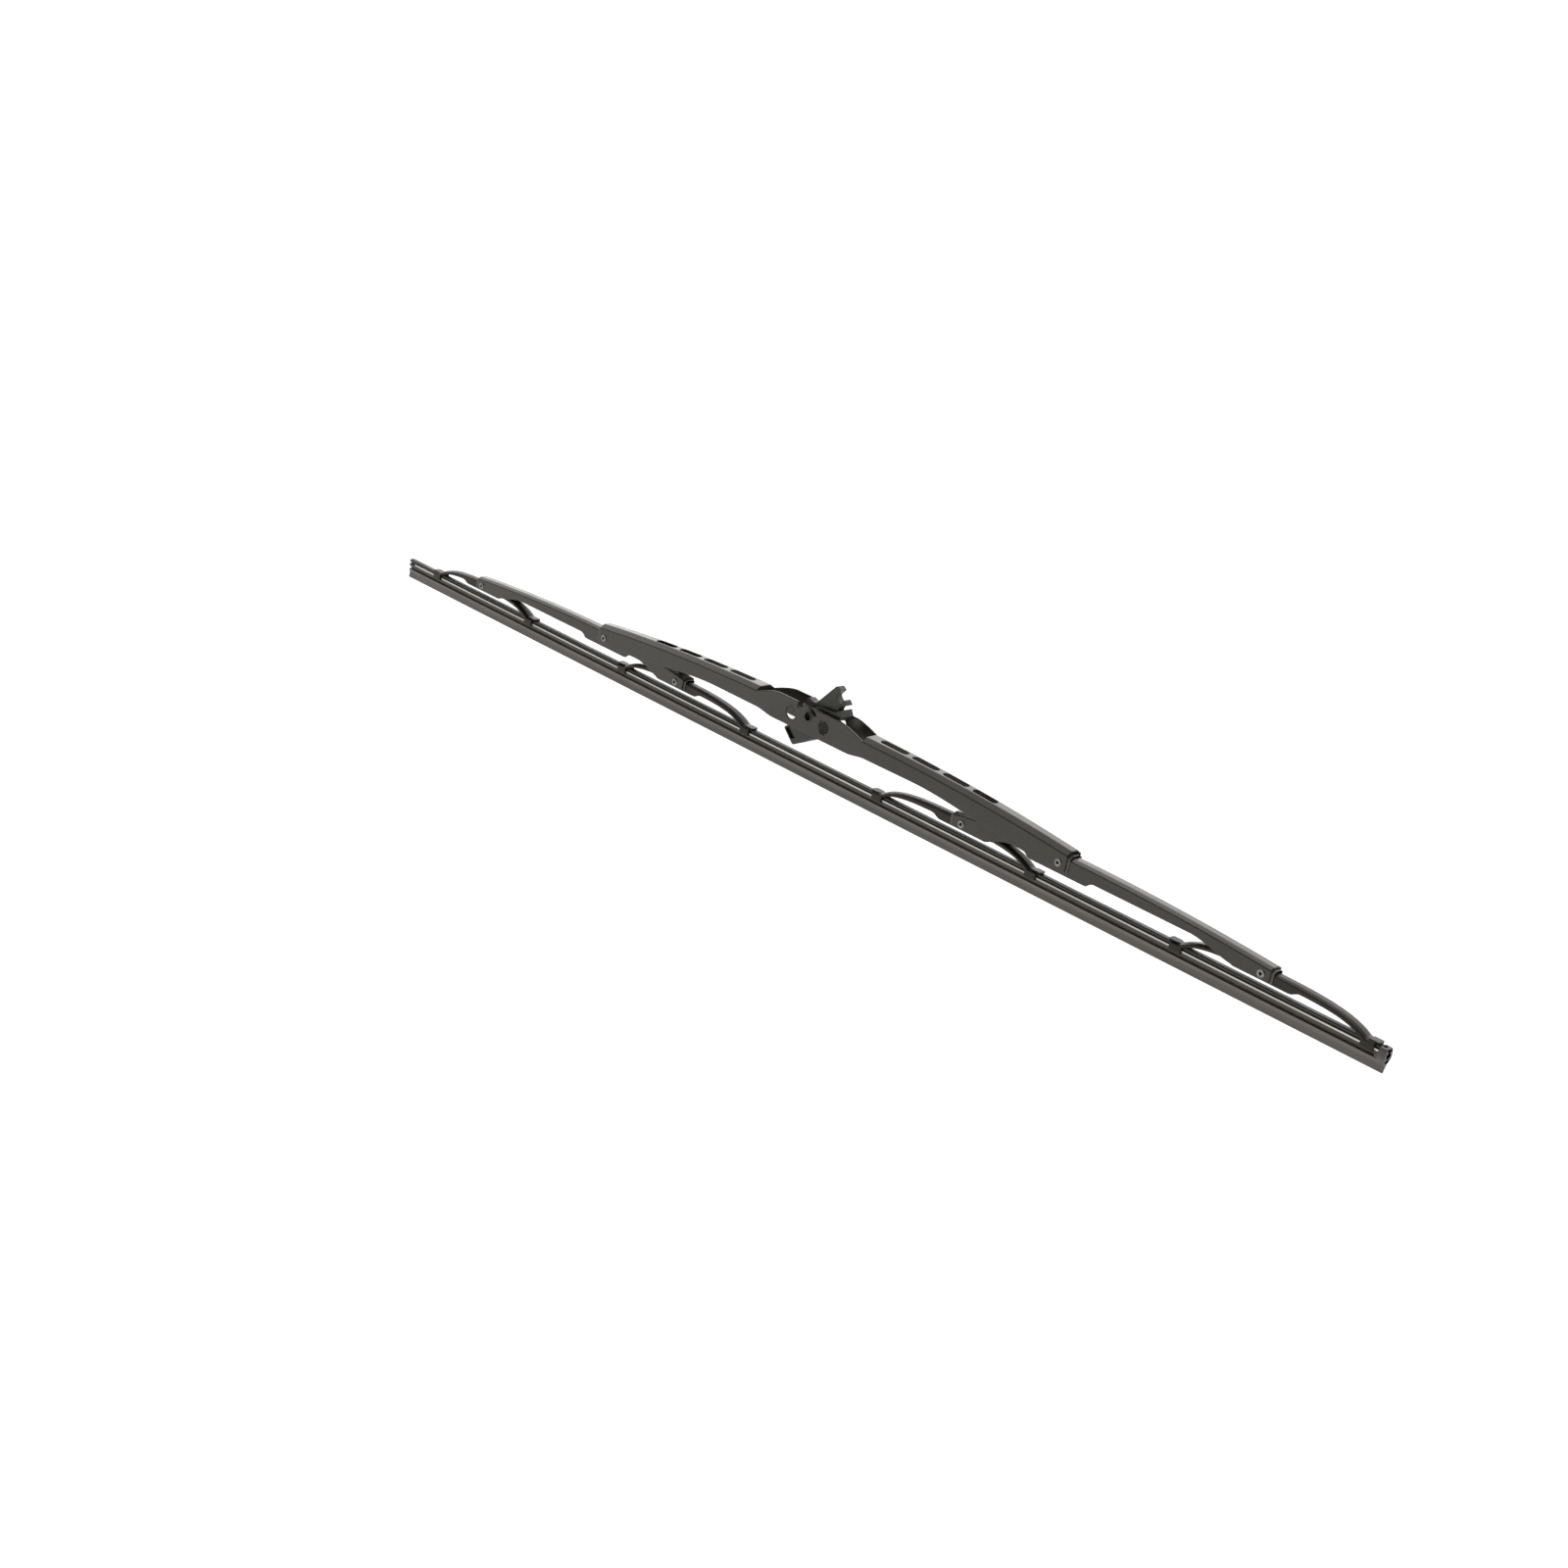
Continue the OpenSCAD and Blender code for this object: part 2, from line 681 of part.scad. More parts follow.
function clip_body() = [
    [-tail_l, 3.6], [0.6 - tail_l, 4.3], [-12, 3.2], [-5.6, 3.2], [-2, 3.8], [3, 3], [8, 0.4],
    [10.7, -2.3], [14.9, -6.4], [18.1, -7.1], [17, -10.4], [13.6, -10.4], [10.8, -7.2], [9, -5.6],
    [6.4, -5.2], [3.8, -5.8], [1.6, -7.6], [0, -10.4], [-2.6, -11.3], [-6.2, -9.4], [-11.6, -8.2],
    [-15, -6.8], [0.4 - tail_l, -5.6], [-tail_l, -4.6]
];

function clip_pocket() = [
    [0.8 - tail_l, -2.6], [-15.6, -3.8], [-15.6, 3], [0.8 - tail_l, 3.2]
];

module clip_slab(points, half) {
    rotate([90, 0, 0])
        linear_extrude(2 * half, center = true) polygon(points);
}

module hook_clip() {
    color(plastic_black)
        translate([pin_x, 0, pin_z])
            rotate([0, -clip_tilt, 0])
                difference() {
                    union() {
                        clip_slab(clip_lever(), lever_w);
                        clip_slab(clip_body(), clip_w);
                        rotate([90, 0, 0])
                            cylinder(d = hub_d, h = 2 * (well_w - clip_gap), center = true);
                    }
                    bore(0, 0, pin_d / 2 + run_gap);
                    for (side = [-1, 1])
                        translate([0, side * clip_w, 0]) clip_slab(clip_pocket(), pocket_h);
                }
}

// Right half of the rubber's cross-section, from the lip up
function rubber_half() = [
    [lip_w, 0], [lip_w, lip_z], [web_w, web_z], [neck_w, neck_z], [shoulder_w, shoulder_z - 0.5],
    [shoulder_w, shoulder_z + 0.3], [groove_w, shoulder_z + 0.8], [groove_w, jaw_top_z - jaw_h],
    [shelf_w, strip_z - strip_h / 2 - 0.3], [shelf_w, strip_z - strip_h / 2 - strip_slack],
    [slot_depth_w, strip_z - strip_h / 2 - strip_slack], [slot_depth_w, strip_z + strip_h / 2 + strip_slack],
    [head_w, strip_z + strip_h / 2 + strip_slack], [head_w, rubber_h - 0.35], [head_w - 0.35, rubber_h]
];

module rubber_element() {
    half = rubber_half();
    color(rubber_grey) {
        translate([rubber_start, 0, 0])
            rotate([90, 0, 90])
                linear_extrude(rubber_l)
                    polygon(concat(half, backward([for (p = half) [-p[0], p[1]]])));
        translate([rubber_end - block_l, 0, 0])
            rotate([90, 0, 90])
                linear_extrude(block_l)
                    polygon([
                        [-1.1, neck_z], [-block_w + 0.2, shoulder_z - 0.8], [-block_w, shoulder_z + 1.2],
                        [-block_w + 0.3, strip_z + strip_h / 2], [-2.3, rubber_h], [2.3, rubber_h],
                        [block_w - 0.3, strip_z + strip_h / 2], [block_w, shoulder_z + 1.2],
                        [block_w - 0.2, shoulder_z - 0.8], [1.1, neck_z]
                    ]);
    }
}

module flexor_back() {
    start = rubber_start + strip_end;
    color(strip_steel)
        translate([start, slot_depth_w + strip_slack, strip_z - strip_h / 2])
            cube([rubber_end - block_l - strip_slack - start, strip_w - slot_depth_w - strip_slack, strip_h]);
}

module flexor_front() {
    mirror([0, 1, 0]) flexor_back();
}

main_bracket();
secondary_bracket_left();
secondary_bracket_right();
claw_bridge_1();
claw_bridge_2();
claw_bridge_3();
claw_bridge_4();
primary_rivet_left();
primary_rivet_right();
bridge_rivet_1();
bridge_rivet_2();
bridge_rivet_3();
bridge_rivet_4();
primary_liner_left();
primary_liner_right();
bridge_liner_1();
bridge_liner_2();
bridge_liner_3();
bridge_liner_4();
cross_pin();
hook_clip();
rubber_element();
flexor_front();
flexor_back();
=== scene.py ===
import json
import math

import bmesh
import bpy
from mathutils import Euler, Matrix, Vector


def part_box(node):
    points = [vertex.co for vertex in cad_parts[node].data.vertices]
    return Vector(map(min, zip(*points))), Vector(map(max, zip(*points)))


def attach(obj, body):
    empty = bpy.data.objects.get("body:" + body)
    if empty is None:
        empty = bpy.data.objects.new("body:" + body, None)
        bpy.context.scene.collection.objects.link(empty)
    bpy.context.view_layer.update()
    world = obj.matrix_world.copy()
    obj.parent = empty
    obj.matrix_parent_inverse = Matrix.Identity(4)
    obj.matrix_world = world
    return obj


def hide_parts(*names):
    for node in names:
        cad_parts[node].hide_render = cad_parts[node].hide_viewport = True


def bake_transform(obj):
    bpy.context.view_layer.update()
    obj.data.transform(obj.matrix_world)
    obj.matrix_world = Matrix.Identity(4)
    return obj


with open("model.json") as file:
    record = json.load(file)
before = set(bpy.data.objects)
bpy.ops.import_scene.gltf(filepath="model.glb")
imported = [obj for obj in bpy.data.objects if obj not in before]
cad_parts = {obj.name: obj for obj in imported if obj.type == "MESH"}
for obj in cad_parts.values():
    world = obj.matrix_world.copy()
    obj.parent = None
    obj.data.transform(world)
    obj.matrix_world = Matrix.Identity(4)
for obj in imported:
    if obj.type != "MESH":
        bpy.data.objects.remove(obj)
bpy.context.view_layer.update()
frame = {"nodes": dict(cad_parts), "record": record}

MM = 0.001

# Camera solved from the photograph: place in metres, turn in degrees, 50 mm lens on a 36 mm sensor
CAMERA_AT = (0.653727, -0.729717, 0.363804)
CAMERA_TURN = (69.14361, -8.87335, 45.90619)
LENS_MM = 50.0
SENSOR_MM = 36.0
NEAR_CLIP, FAR_CLIP = 0.01, 50.0

# Light: the surround is brightest toward BACKDROP_TOWARD, behind the blade, and dark in front of it
BACKDROP_TOWARD = (-0.45, 0.85, 0.25)
FRONT_LEVEL, BACK_LEVEL = 0.05, 2.4
FRONT_END, BACK_END = -0.05, 0.95
BACKDROP_SEEN = 1.1
KEY_AT, KEY_SIZE, KEY_WATTS = (-0.2, 0.5, 1.5), (1.6, 1.2), 4.0

# Floor: a plane far larger than the view, low enough for the ends of the flexed blade
FLOOR_HALF = 60.0
FLOOR_DROP = 18.0 * MM
FLOOR_GLOW = 0.90
FLOOR_GREY = 0.32
FLOOR_ROUGHNESS = 0.95

# Rubber section, half width against height, in millimetres, from the lip up to the head
RUBBER_HALF = [
    (0.38, 0.0), (0.42, 1.2), (0.60, 2.6), (0.95, 3.8), (1.55, 4.55), (1.72, 4.75), (1.72, 5.0),
    (0.45, 5.25), (0.45, 6.3), (1.6, 6.55), (1.6, 8.105), (0.65, 8.105), (0.65, 8.995),
    (1.55, 8.995), (1.55, 10.15), (1.2, 10.5)
]
# The lip leans toward the near side below its hinge, as a used blade's does
LEAN_MM = 1.1
LEAN_BELOW_MM = 5.2
# From here up the rubber has the head's darker tone
HEAD_ABOVE_MM = 6.4
CORNER_MM = 0.16
SMOOTH_BELOW_DEG = 38
# Distance of the rings along a length, and the tongue that reaches into the next length
RING_MM = 2.5
TONGUE_MM = 1.6
TONGUE_INSET_MM = 0.12

# Moulded block at the near end, half width against height, and its size along its length
BLOCK_HALF = [(1.1, 3.6), (2.9, 5.3), (3.1, 7.3), (2.8, 8.975), (2.3, 10.5)]
BLOCK_MM = 3.4
BLOCK_MIDDLE_Z = 7.2
BLOCK_CORNER_MM, BLOCK_CORNER_STEPS = 0.8, 5
BLOCK_SWELL = [
    (0, 0.93), (0.06, 0.98), (0.16, 1.0), (0.6, 1.0), (0.85, 0.985), (0.95, 0.955), (1.0, 0.90)
]

# Filler between the last claw and the block, and how far it reaches into each
FILL_HALF = [(1.2, 4.2), (1.68, 4.8), (1.66, 6.6), (1.55, 7.2)]
FILL_CORNER_MM = 0.2
FILL_FROM_CLAW_MM = 0.5
FILL_INTO_BLOCK_MM = 0.3
# Share of the head's tone on block and filler
END_TONE = 0.35

# Strip section, in millimetres
STRIP_IN, STRIP_OUT, STRIP_LOW_Z, STRIP_HIGH_Z = 0.67, 2.35, 8.125, 8.975
STRIP_CORNER_MM = 0.12

# Where the rubber and its strips are cut, midway between the claw bridges' pivots, and where they lie
CLAW_BRIDGES = ("claw_bridge_1", "claw_bridge_2", "claw_bridge_3", "claw_bridge_4")
JOINT_X = {row["name"]: row["pos_m"][0] for row in frame["record"]["behaviour"]["joints"]}
CUT_LEFT = (JOINT_X["bridge_1_pivot"] + JOINT_X["bridge_2_pivot"]) / 2
CUT_RIGHT = (JOINT_X["bridge_3_pivot"] + JOINT_X["bridge_4_pivot"]) / 2
RUBBER_LOW, RUBBER_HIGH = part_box("rubber_element")
STRIP_LOW, STRIP_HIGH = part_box("flexor_back")
# Each span's listed change from one body to the other starts or ends this far from a claw
CLAW_CLEAR = 2.0 * MM

# Tab on a claw's roof in the frame, and the share of it that shows
TAB = 4.5 * MM
TAB_SHOWN = 0.42

# Colours, linear
BLACK, WHITE = (0, 0, 0), (1, 1, 1)
PAINT_DARK, PAINT_PALE = (0.0245, 0.0208, 0.0108), (0.0408, 0.0352, 0.0198)
PAINT_DUST = (0.062, 0.057, 0.040, 1)
# Painted shade along the folds, near black
PAINT_FOLD_SHADE = (0.004, 0.0035, 0.002, 1)
PAINT_EDGE = (0.105, 0.098, 0.082, 1)
# Painted shade in the paint's hollows and where pieces meet
PAINT_HOLLOW_SHADE = (0.020, 0.018, 0.011, 1)
ZINC_DARK, ZINC_PALE = (0.16, 0.155, 0.14), (0.34, 0.335, 0.31)
ZINC_EDGE = (0.55, 0.54, 0.50, 1)
# Painted shade in the rivet's hollow
ZINC_HOLLOW_SHADE = (0.012, 0.011, 0.009, 1)
STRIP_DARK, STRIP_PALE = (0.44, 0.42, 0.36), (0.64, 0.62, 0.56)
STRIP_STAIN = (0.34, 0.31, 0.24, 1)
LIP_DARK, LIP_PALE = (0.110, 0.095, 0.079), (0.175, 0.155, 0.134)
HEAD_DARK, HEAD_PALE = (0.034, 0.034, 0.033), (0.062, 0.061, 0.058)
RUBBER_BLOOM = (0.180, 0.165, 0.148, 1)
# Painted shade in the rubber's grooves and where pieces meet
RUBBER_HOLLOW_SHADE = (0.014, 0.012, 0.006, 1)
LINER_DARK, LINER_PALE = (0.075, 0.074, 0.068), (0.120, 0.118, 0.110)
LINER_EDGE = (0.24, 0.235, 0.22, 1)
CLIP_DARK, CLIP_PALE = (0.019, 0.018, 0.010), (0.034, 0.033, 0.020)
CLIP_EDGE = (0.070, 0.067, 0.050, 1)
# Painted shade in the clip's pockets and where pieces meet
CLIP_HOLLOW_SHADE = (0.014, 0.013, 0.007, 1)

# Shader details: samples of the hollow and edge finders, the noise's usual span, the mix node's sockets
HOLLOW_SAMPLES = 4
EDGE_SAMPLES = 6
NOISE_LOW, NOISE_HIGH = 0.3, 0.7
MIX_FACTOR, MIX_FIRST, MIX_SECOND, MIX_RESULT = 0, 6, 7, 2


def material(name, metallic=0.0):
    """A new node material with its principled shader."""
    mat = bpy.data.materials.new(name)
    mat.use_nodes = True
    shader = mat.node_tree.nodes["Principled BSDF"]
    shader.inputs["Metallic"].default_value = metallic
    return mat, mat.node_tree, shader


def coordinates(tree, scale):
    """Object coordinates, stretched along each axis."""
    place = tree.nodes.new("ShaderNodeTexCoord")
    mapping = tree.nodes.new("ShaderNodeMapping")
    mapping.inputs["Scale"].default_value = scale
    tree.links.new(place.outputs["Object"], mapping.inputs["Vector"])
    return mapping.outputs["Vector"]


def noise(tree, scale, detail=4.0, stretch=(1, 1, 1), rough=0.55):
    """A noise texture, as a value output."""
    made = tree.nodes.new("ShaderNodeTexNoise")
    made.inputs["Scale"].default_value = scale
    made.inputs["Detail"].default_value = detail
    made.inputs["Roughness"].default_value = rough
    tree.links.new(coordinates(tree, stretch), made.inputs["Vector"])
    return made.outputs["Fac"]


def ramp(tree, value, stops):
    """A colour ramp over a value: stops are (place, colour)."""
    made = tree.nodes.new("ShaderNodeValToRGB")
    elements = made.color_ramp.elements
    while len(elements) < len(stops):
        elements.new(0.5)
    for element, (place, colour) in zip(elements, stops):
        element.position = place
        element.color = (*colour, 1.0)
    tree.links.new(value, made.inputs["Fac"])
    return made.outputs["Color"]


def mix(tree, factor, first, second):
    """Two colours mixed by a factor, each a socket or a value."""
    made = tree.nodes.new("ShaderNodeMix")
    made.data_type = "RGBA"
    for place, value in ((MIX_FACTOR, factor), (MIX_FIRST, first), (MIX_SECOND, second)):
        socket = made.inputs[place]
        if isinstance(value, bpy.types.NodeSocket):
            tree.links.new(value, socket)
        else:
            socket.default_value = value
    return made.outputs[MIX_RESULT]


def bump(tree, height, strength, distance, normal=None):
    """A bump node over a height value."""
    made = tree.nodes.new("ShaderNodeBump")
    made.inputs["Strength"].default_value = strength
    made.inputs["Distance"].default_value = distance
    tree.links.new(height, made.inputs["Height"])
    if normal is not None:
        tree.links.new(normal, made.inputs["Normal"])
    return made.outputs["Normal"]


def rounded_edges(tree, radius):
    """Normals rounded over the edges, as a fold or a moulding has them."""
    made = tree.nodes.new("ShaderNodeBevel")
    made.samples = EDGE_SAMPLES
    made.inputs["Radius"].default_value = radius
    return made.outputs["Normal"]


def edge_wear_and_fold_shade(tree, radius, low, high):
    """A value that rises on edges, where the rounded normal turns away from the face's own: for rubbed
    edges, and for painted shade along folds.
    """
    pointy = tree.nodes.new("ShaderNodeBevel")
    pointy.samples = EDGE_SAMPLES
    pointy.inputs["Radius"].default_value = radius
    shape = tree.nodes.new("ShaderNodeNewGeometry")
    dot = tree.nodes.new("ShaderNodeVectorMath")
    dot.operation = "DOT_PRODUCT"
    tree.links.new(pointy.outputs["Normal"], dot.inputs[0])
    tree.links.new(shape.outputs["True Normal"], dot.inputs[1])
    spread = tree.nodes.new("ShaderNodeMapRange")
    spread.inputs["From Min"].default_value = high
    spread.inputs["From Max"].default_value = low
    tree.links.new(dot.outputs["Value"], spread.inputs["Value"])
    return spread.outputs["Result"]


def hollow_shade(tree, distance, low, high):
    """A painted-shade mask from occlusion: it rises in hollows and where pieces meet, where shade falls.
    """
    shade = tree.nodes.new("ShaderNodeAmbientOcclusion")
    shade.samples = HOLLOW_SAMPLES
    shade.inputs["Distance"].default_value = distance
    spread = tree.nodes.new("ShaderNodeMapRange")
    spread.inputs["From Min"].default_value = high
    spread.inputs["From Max"].default_value = low
    tree.links.new(shade.outputs["AO"], spread.inputs["Value"])
    return spread.outputs["Result"]


def roughness(tree, shader, scale, low, high, stretch=(1, 1, 1)):
    """Roughness that varies between two values."""
    spread = tree.nodes.new("ShaderNodeMapRange")
    spread.inputs["From Min"].default_value = NOISE_LOW
    spread.inputs["From Max"].default_value = NOISE_HIGH
    spread.inputs["To Min"].default_value = low
    spread.inputs["To Max"].default_value = high
    tree.links.new(noise(tree, scale, 5.0, stretch), spread.inputs["Value"])
    tree.links.new(spread.outputs["Result"], shader.inputs["Roughness"])


def satin_paint(name, specular, rough_low, rough_high):
    """Black satin paint on folded steel: fine dust, orange peel, painted shade along the folds and in
    hollows, and edges rubbed paler.
    """
    mat, tree, shader = material(name)
    paint = ramp(tree, noise(tree, 45.0, 6.0, (0.5, 1, 1)), [(0.3, PAINT_DARK), (0.75, PAINT_PALE)])
    specks = ramp(tree, noise(tree, 1100.0, 3.0), [(0.58, BLACK), (0.72, (0.45, 0.45, 0.45))])
    dusty = mix(tree, specks, paint, PAINT_DUST)
    # Painted shade along the folds: a near-black band where the rounded normal turns away from the
    # face's own
    turned = edge_wear_and_fold_shade(tree, 0.9 * MM, 0.70, 0.985)
    fold_shade_mask = ramp(tree, turned, [(0.02, BLACK), (0.22, WHITE), (0.50, WHITE), (0.62, BLACK)])
    fold_shaded = mix(tree, fold_shade_mask, dusty, PAINT_FOLD_SHADE)
    worn = edge_wear_and_fold_shade(tree, 0.25 * MM, 0.70, 0.985)
    rubbed = ramp(tree, worn, [(0.55, BLACK), (0.85, (0.8, 0.8, 0.8))])
    edges = mix(tree, rubbed, fold_shaded, PAINT_EDGE)
    # Painted shade: the paint darkened in hollows and where pieces meet
    colour = mix(tree, hollow_shade(tree, 2.5 * MM, 0.15, 0.75), edges, PAINT_HOLLOW_SHADE)
    tree.links.new(colour, shader.inputs["Base Color"])
    roughness(tree, shader, 160.0, rough_low, rough_high)
    peel = bump(tree, noise(tree, 420.0, 2.0), 0.10, 0.04 * MM, rounded_edges(tree, 0.9 * MM))
    tree.links.new(bump(tree, noise(tree, 1800.0, 3.0), 0.08, 0.02 * MM, peel), shader.inputs["Normal"])
    shader.inputs["Specular IOR Level"].default_value = specular
    return mat


def rivet_steel():
    """Zinc-plated steel dulled by overspray, with a turned grain and painted shade in the hollow."""
    mat, tree, shader = material("rivet_steel", 0.8)
    plate = ramp(tree, noise(tree, 700.0, 5.0), [(0.35, ZINC_DARK), (0.7, ZINC_PALE)])
    rubbed = mix(tree, edge_wear_and_fold_shade(tree, 0.2 * MM, 0.70, 0.97), plate, ZINC_EDGE)
    colour = mix(tree, hollow_shade(tree, 1.2 * MM, 0.30, 0.85), rubbed, ZINC_HOLLOW_SHADE)
    tree.links.new(colour, shader.inputs["Base Color"])
    roughness(tree, shader, 500.0, 0.32, 0.50)
    tree.links.new(bump(tree, noise(tree, 2200.0, 2.0), 0.15, 0.03 * MM, rounded_edges(tree, 0.20 * MM)),
                   shader.inputs["Normal"])
    return mat


def strip_steel():
    """Stainless spring strip, brushed along its length."""
    mat, tree, shader = material("strip_steel", 0.9)
    brushed = noise(tree, 900.0, 4.0, (0.01, 1, 1))
    colour = ramp(tree, brushed, [(0.3, STRIP_DARK), (0.7, STRIP_PALE)])
    stains = ramp(tree, noise(tree, 40.0, 5.0, (0.3, 1, 1)), [(0.45, BLACK), (0.8, (0.6, 0.6, 0.6))])
    stained = mix(tree, stains, colour, STRIP_STAIN)
    tree.links.new(stained, shader.inputs["Base Color"])
    roughness(tree, shader, 300.0, 0.28, 0.42, (0.05, 1, 1))
    tree.links.new(bump(tree, brushed, 0.2, 0.02 * MM), shader.inputs["Normal"])
    return mat


def wiper_rubber():
    """Brown-grey rubber, darker on the head, with extrusion lines, bloom and painted shade in its
    grooves.
    """
    mat, tree, shader = material("wiper_rubber")
    lines = noise(tree, 1500.0, 3.0, (0.003, 1, 1), 0.7)
    lip = ramp(tree, lines, [(0.3, LIP_DARK), (0.72, LIP_PALE)])
    head = ramp(tree, lines, [(0.3, HEAD_DARK), (0.72, HEAD_PALE)])
    tone = tree.nodes.new("ShaderNodeAttribute")
    tone.attribute_name = "head"
    base = mix(tree, tone.outputs["Fac"], lip, head)
    bloom = ramp(tree, noise(tree, 35.0, 6.0, (0.35, 1, 1)), [(0.40, BLACK), (0.85, (0.35, 0.35, 0.35))])
    dull = mix(tree, bloom, base, RUBBER_BLOOM)
    colour = mix(tree, hollow_shade(tree, 1.4 * MM, 0.10, 0.62), dull, RUBBER_HOLLOW_SHADE)
    tree.links.new(colour, shader.inputs["Base Color"])
    roughness(tree, shader, 260.0, 0.46, 0.62, (0.1, 1, 1))
    grain = bump(tree, lines, 0.25, 0.05 * MM)
    tree.links.new(bump(tree, noise(tree, 900.0, 4.0), 0.12, 0.04 * MM, grain), shader.inputs["Normal"])
    return mat


def liner_plastic():
    """Grey acetal liner, semi-matt, with rubbed edges."""
    mat, tree, shader = material("liner_plastic")
    colour = ramp(tree, noise(tree, 260.0, 4.0), [(0.3, LINER_DARK), (0.7, LINER_PALE)])
    worn = mix(tree, edge_wear_and_fold_shade(tree, 0.2 * MM, 0.75, 0.98), colour, LINER_EDGE)
    tree.links.new(worn, shader.inputs["Base Color"])
    roughness(tree, shader, 400.0, 0.42, 0.56)
    tree.links.new(bump(tree, noise(tree, 1500.0, 3.0), 0.12, 0.03 * MM, rounded_edges(tree, 0.15 * MM)),
                   shader.inputs["Normal"])
    return mat


def clip_plastic():
    """Moulded black plastic with a fine spark-eroded grain, painted shade in its pockets and scuffed
    corners.
    """
    mat, tree, shader = material("clip_plastic")
    base = ramp(tree, noise(tree, 120.0, 5.0), [(0.3, CLIP_DARK), (0.75, CLIP_PALE)])
    worn = mix(tree, edge_wear_and_fold_shade(tree, 0.3 * MM, 0.75, 0.98), base, CLIP_EDGE)
    colour = mix(tree, hollow_shade(tree, 3.0 * MM, 0.15, 0.75), worn, CLIP_HOLLOW_SHADE)
    tree.links.new(colour, shader.inputs["Base Color"])
    roughness(tree, shader, 240.0, 0.40, 0.56)
    tree.links.new(bump(tree, noise(tree, 1800.0, 3.0), 0.2, 0.04 * MM, rounded_edges(tree, 0.30 * MM)),
                   shader.inputs["Normal"])
    return mat


MATERIALS = {
    "bracket_paint": satin_paint("bracket_paint", 0.5, 0.20, 0.33),
    "rivet_steel": rivet_steel(),
    "strip_steel": strip_steel(),
    "wiper_rubber": wiper_rubber(),
    "liner_plastic": liner_plastic(),
    "clip_plastic": clip_plastic(),
}
CLAW_PAINT = satin_paint("claw_paint", 0.22, 0.30, 0.45)
SLOT_OF = {row["node"]: row["material_slot"] for row in frame["record"]["subparts"]}


def paint_nodes():
    """Each CAD node takes the material of its slot."""
    for name, obj in frame["nodes"].items():
        obj.data.materials.clear()
        obj.data.materials.append(MATERIALS[SLOT_OF[name]])


def shortened_claws():
    """Each claw bridge formed again with its roof tabs as short as they show."""
    for name in CLAW_BRIDGES:
        low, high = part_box(name)
        mesh = frame["nodes"][name].data.copy()
        mesh.name = name + "_formed"
        mesh.materials.clear()
        mesh.materials.append(CLAW_PAINT)
        for vertex in mesh.vertices:
            for tip, way in ((low[0], -1), (high[0], 1)):
                beyond = way * vertex.co.x - (way * tip - TAB)
                if beyond > 0:
                    vertex.co.x -= way * beyond * (1 - TAB_SHOWN)
        piece = bpy.data.objects.new(mesh.name, mesh)
        bpy.context.scene.collection.objects.link(piece)
        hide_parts(name)
        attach(piece, name.replace("claw_", ""))


def mirrored(half):
    """A closed outline from its half, anticlockwise seen from the near end."""
    return [Vector((y, z)) for y, z in half] + [Vector((-y, z)) for y, z in reversed(half)]


def rounded(outline, radius, steps=3):
    """The outline with each corner cut back to an arc."""
    made = []
    count = len(outline)
    for i, corner in enumerate(outline):
        before, after = outline[i - 1] - corner, outline[(i + 1) % count] - corner
        cut = min(radius, 0.4 * before.length, 0.4 * after.length)
        first, last = corner + before.normalized() * cut, corner + after.normalized() * cut
        for k in range(steps + 1):
            t = k / steps
            made.append(first * (1 - t) ** 2 + corner * (2 * t * (1 - t)) + last * t ** 2)
    return made


def inset(outline, depth):
    """The outline moved inward by a small depth."""
    made = []
    count = len(outline)
    for i, point in enumerate(outline):
        along = (outline[(i + 1) % count] - outline[i - 1]).normalized()
        made.append(point - Vector((along.y, -along.x)) * depth)
    return made


def leaning(outline):
    """The outline with its lip set over toward the near side."""
    return [Vector((p.x - LEAN_MM * max(0.0, 1 - p.y / LEAN_BELOW_MM), p.y)) for p in outline]


def extrusion(name, rings, tone=None):
    """A closed mesh through rings of (x, outline) in millimetres.

    The attribute "head" is the share of the head's tone: by height, or tone where it is given.
    """
    mesh = bpy.data.meshes.new(name)
    made = bmesh.new()
    loops = [[made.verts.new((x * MM, p.x * MM, p.y * MM)) for p in outline] for x, outline in rings]
    size = len(loops[0])
    for first, second in zip(loops, loops[1:]):
        for k in range(size):
            made.faces.new((first[k], first[(k + 1) % size], second[(k + 1) % size], second[k]))
    for cap in (loops[0], loops[-1]):
        made.faces.new(cap)
    bmesh.ops.recalc_face_normals(made, faces=made.faces)
    made.to_mesh(mesh)
    made.free()
    obj = bpy.data.objects.new(name, mesh)
    bpy.context.scene.collection.objects.link(obj)
    head = mesh.attributes.new("head", "FLOAT", "POINT")
    for vertex in mesh.vertices:
        above = 1.0 if vertex.co.z > HEAD_ABOVE_MM * MM else 0.0
        head.data[vertex.index].value = above if tone is None else tone
    for polygon in mesh.polygons:
        polygon.use_smooth = len(polygon.vertices) == 4
    mesh.set_sharp_from_angle(angle=math.radians(SMOOTH_BELOW_DEG))
    return obj


def stations(first, last):
    """Places along the blade, a ring apart."""
    count = max(1, round((last - first) / RING_MM))
    return [first + (last - first) * i / count for i in range(count + 1)]


def length_of(name, outline, first, last, tongue):
    """A length of extruded section, with a tongue that reaches into the next length."""
    rings = [(x, outline) for x in stations(first, last)]
    if tongue:
        core = inset(outline, TONGUE_INSET_MM)
        rings += [(last, core), (last + TONGUE_MM, core)]
    return extrusion(name, rings)


